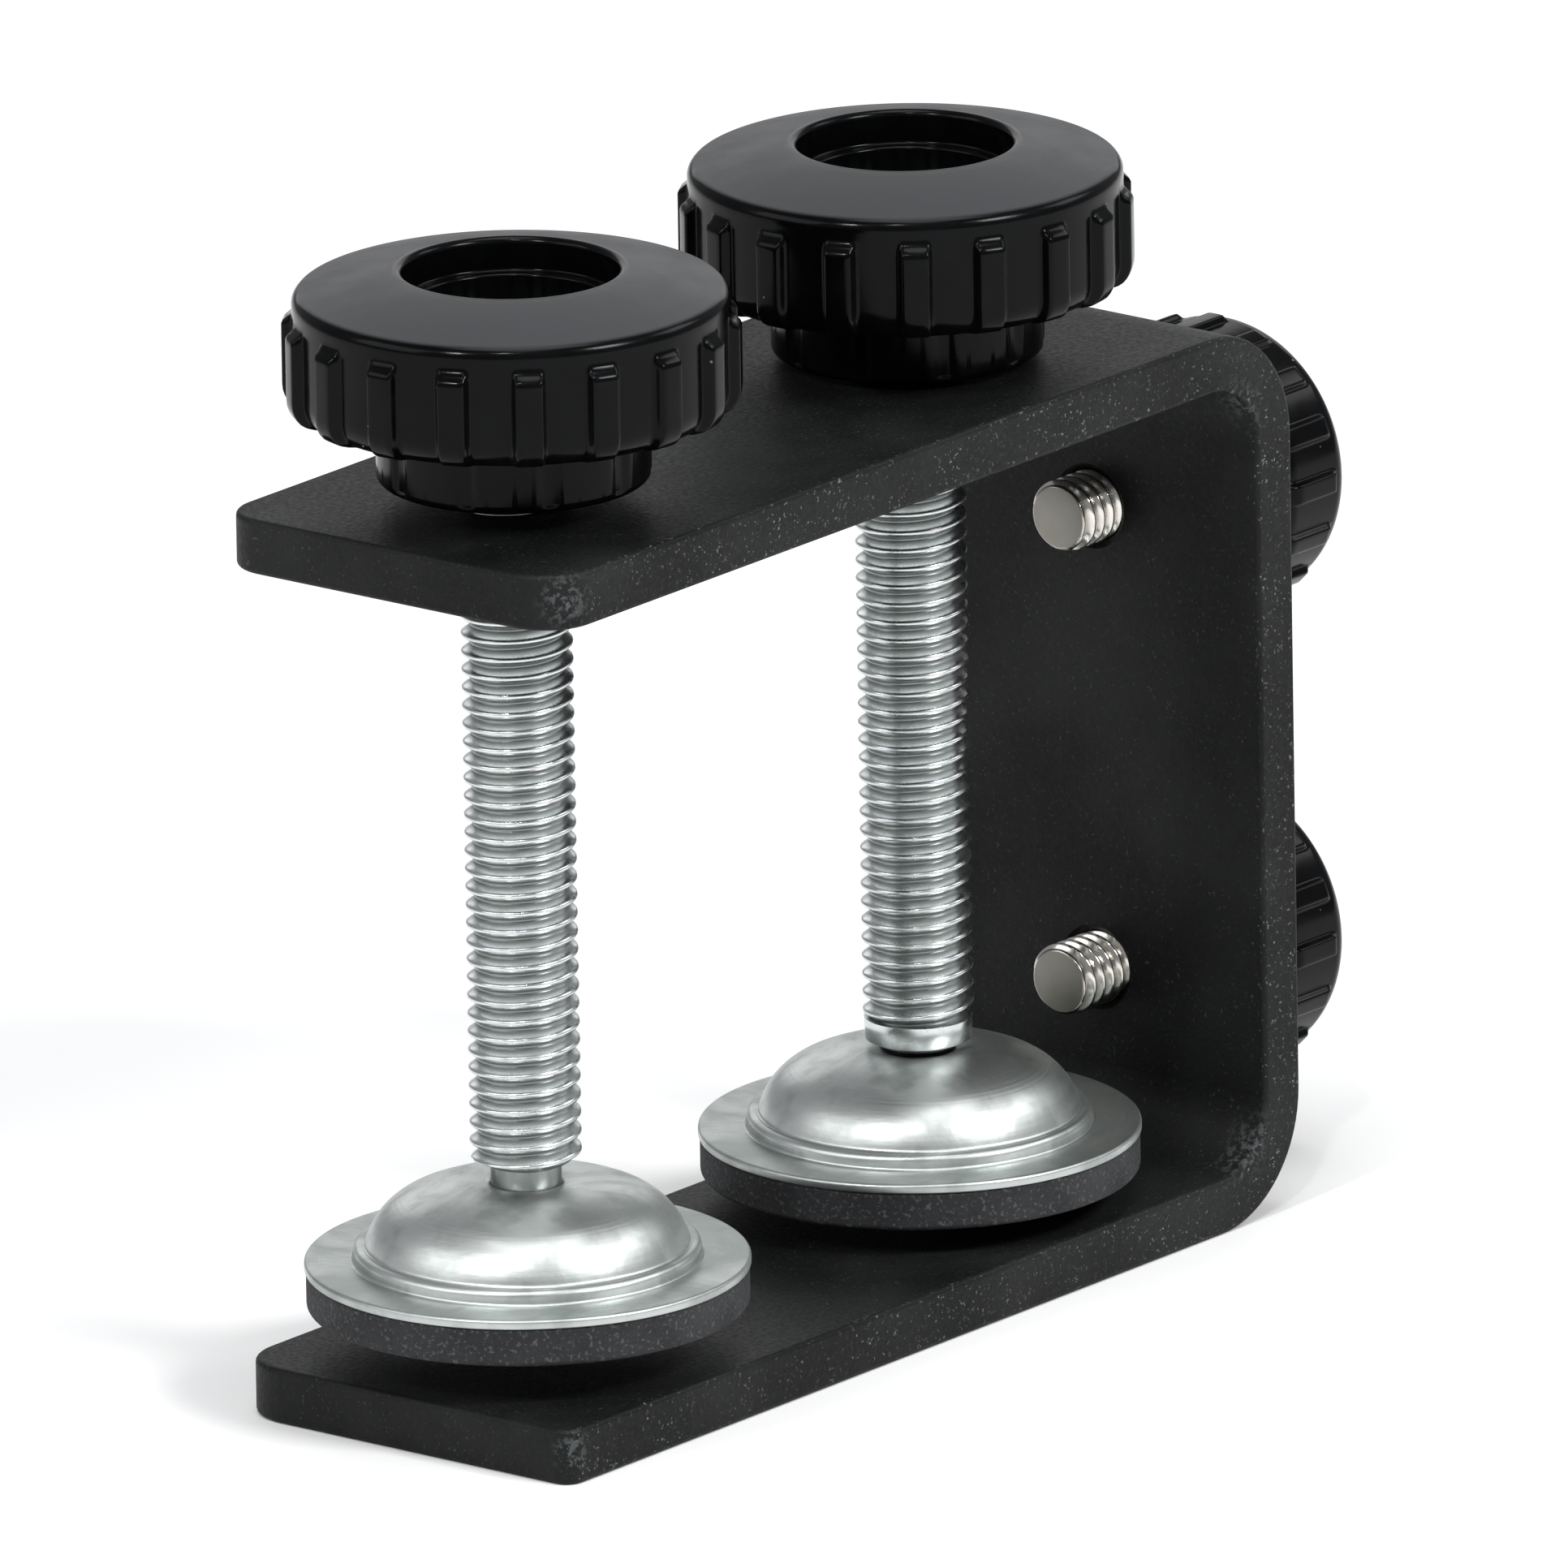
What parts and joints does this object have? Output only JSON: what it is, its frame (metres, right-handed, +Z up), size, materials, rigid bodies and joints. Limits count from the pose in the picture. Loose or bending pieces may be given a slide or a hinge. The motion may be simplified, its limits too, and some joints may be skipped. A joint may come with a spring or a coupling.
{
  "type": "double-screw bracket clamp",
  "caption": "Bench clamp bent from flat steel bar into a C, with swivel-foot clamp screws under ribbed knobs and ribbed thumbscrews through its web.",
  "frame": {"origin": "on the lower leg's underside, on the middle plane of the bar's width, midway between the legs' free ends and the back of the rearmost thumbscrew knob", "axes": "+Z up through the clamp screws towards their knobs; +X along the legs from their free ends to the web and the thumbscrew knobs; Y across the bar's width"},
  "size_m": [0.118, 0.0386, 0.0994],
  "materials": {
    "powder_coat": "matt black powder coat with a fine sandy texture, lightly rubbed at the bends and corners",
    "knob_plastic": "semi-gloss black moulded plastic",
    "zinc_thread": "bright zinc plating on rolled thread",
    "foot_steel": "satin zinc plating on pressed steel, brushed round the dome",
    "pad_rubber": "matt black rubber with a fine grain",
    "retainer_steel": "plain zinc plating, sealed inside the foot",
    "insert_steel": "turned steel, zinc plated",
    "nickel_stud": "warm bright nickel plating",
    "zinc_washer": "zinc plated, lightly tumbled"
  },
  "bodies": {
    "frame": {"bracket": "powder_coat"},
    "foot_1": {"foot_shell_1": "foot_steel", "ball_retainer_1": "retainer_steel", "rubber_pad_1": "pad_rubber"},
    "screw_1": {"clamp_screw_1": "zinc_thread", "clamp_knob_1": "knob_plastic", "knob_insert_1": "insert_steel"},
    "foot_2": {"foot_shell_2": "foot_steel", "ball_retainer_2": "retainer_steel", "rubber_pad_2": "pad_rubber"},
    "screw_2": {"clamp_screw_2": "zinc_thread", "clamp_knob_2": "knob_plastic", "knob_insert_2": "insert_steel"},
    "washer_lower": {"thumb_washer_lower": "zinc_washer"},
    "thumbscrew_lower": {"thumb_knob_lower": "knob_plastic", "thumb_stud_lower": "nickel_stud"},
    "washer_upper": {"thumb_washer_upper": "zinc_washer"},
    "thumbscrew_upper": {"thumb_knob_upper": "knob_plastic", "thumb_stud_upper": "nickel_stud"}
  },
  "joints": [
    {"name": "clamp_1_travel", "type": "slide", "parent": "frame", "child": "foot_1", "axis": [0, 0, 1], "range_m": [-0.00175, 0.0543]},
    {"name": "clamp_1_turn", "type": "hinge", "parent": "foot_1", "child": "screw_1", "pos_m": [-0.04055, 0, 0.0087], "axis": [0, 0, 1], "range_deg": [-408.19, 12336.38]},
    {"name": "clamp_2_travel", "type": "slide", "parent": "frame", "child": "foot_2", "axis": [0, 0, 1], "range_m": [-0.0004, 0.05585]},
    {"name": "clamp_2_turn", "type": "hinge", "parent": "foot_2", "child": "screw_2", "pos_m": [0.0128, 0, 0.00735], "axis": [0, 0, 1], "range_deg": [-102.05, 12687.87]},
    {"name": "thumb_lower_travel", "type": "slide", "parent": "frame", "child": "washer_lower", "axis": [1, 0, 0], "range_m": [-0.00128, 0.0076]},
    {"name": "thumb_lower_turn", "type": "hinge", "parent": "washer_lower", "child": "thumbscrew_lower", "pos_m": [0.04205, 0, 0.0191], "axis": [1, 0, 0], "range_deg": [-368.5, 2168.5]},
    {"name": "thumb_upper_travel", "type": "slide", "parent": "frame", "child": "washer_upper", "axis": [1, 0, 0], "range_m": [-0.00212, 0.00675]},
    {"name": "thumb_upper_turn", "type": "hinge", "parent": "washer_upper", "child": "thumbscrew_upper", "pos_m": [0.04205, 0, 0.06], "axis": [1, 0, 0], "range_deg": [-609.45, 1927.56]}
  ],
  "couplings": [
    {"joint": "clamp_1_turn", "follows": "clamp_1_travel", "rad_per_m": 3957.9},
    {"joint": "clamp_2_turn", "follows": "clamp_2_travel", "rad_per_m": 3957.9},
    {"joint": "thumb_lower_turn", "follows": "thumb_lower_travel", "rad_per_m": 4947.4},
    {"joint": "thumb_upper_turn", "follows": "thumb_upper_travel", "rad_per_m": 4947.4}
  ]
}
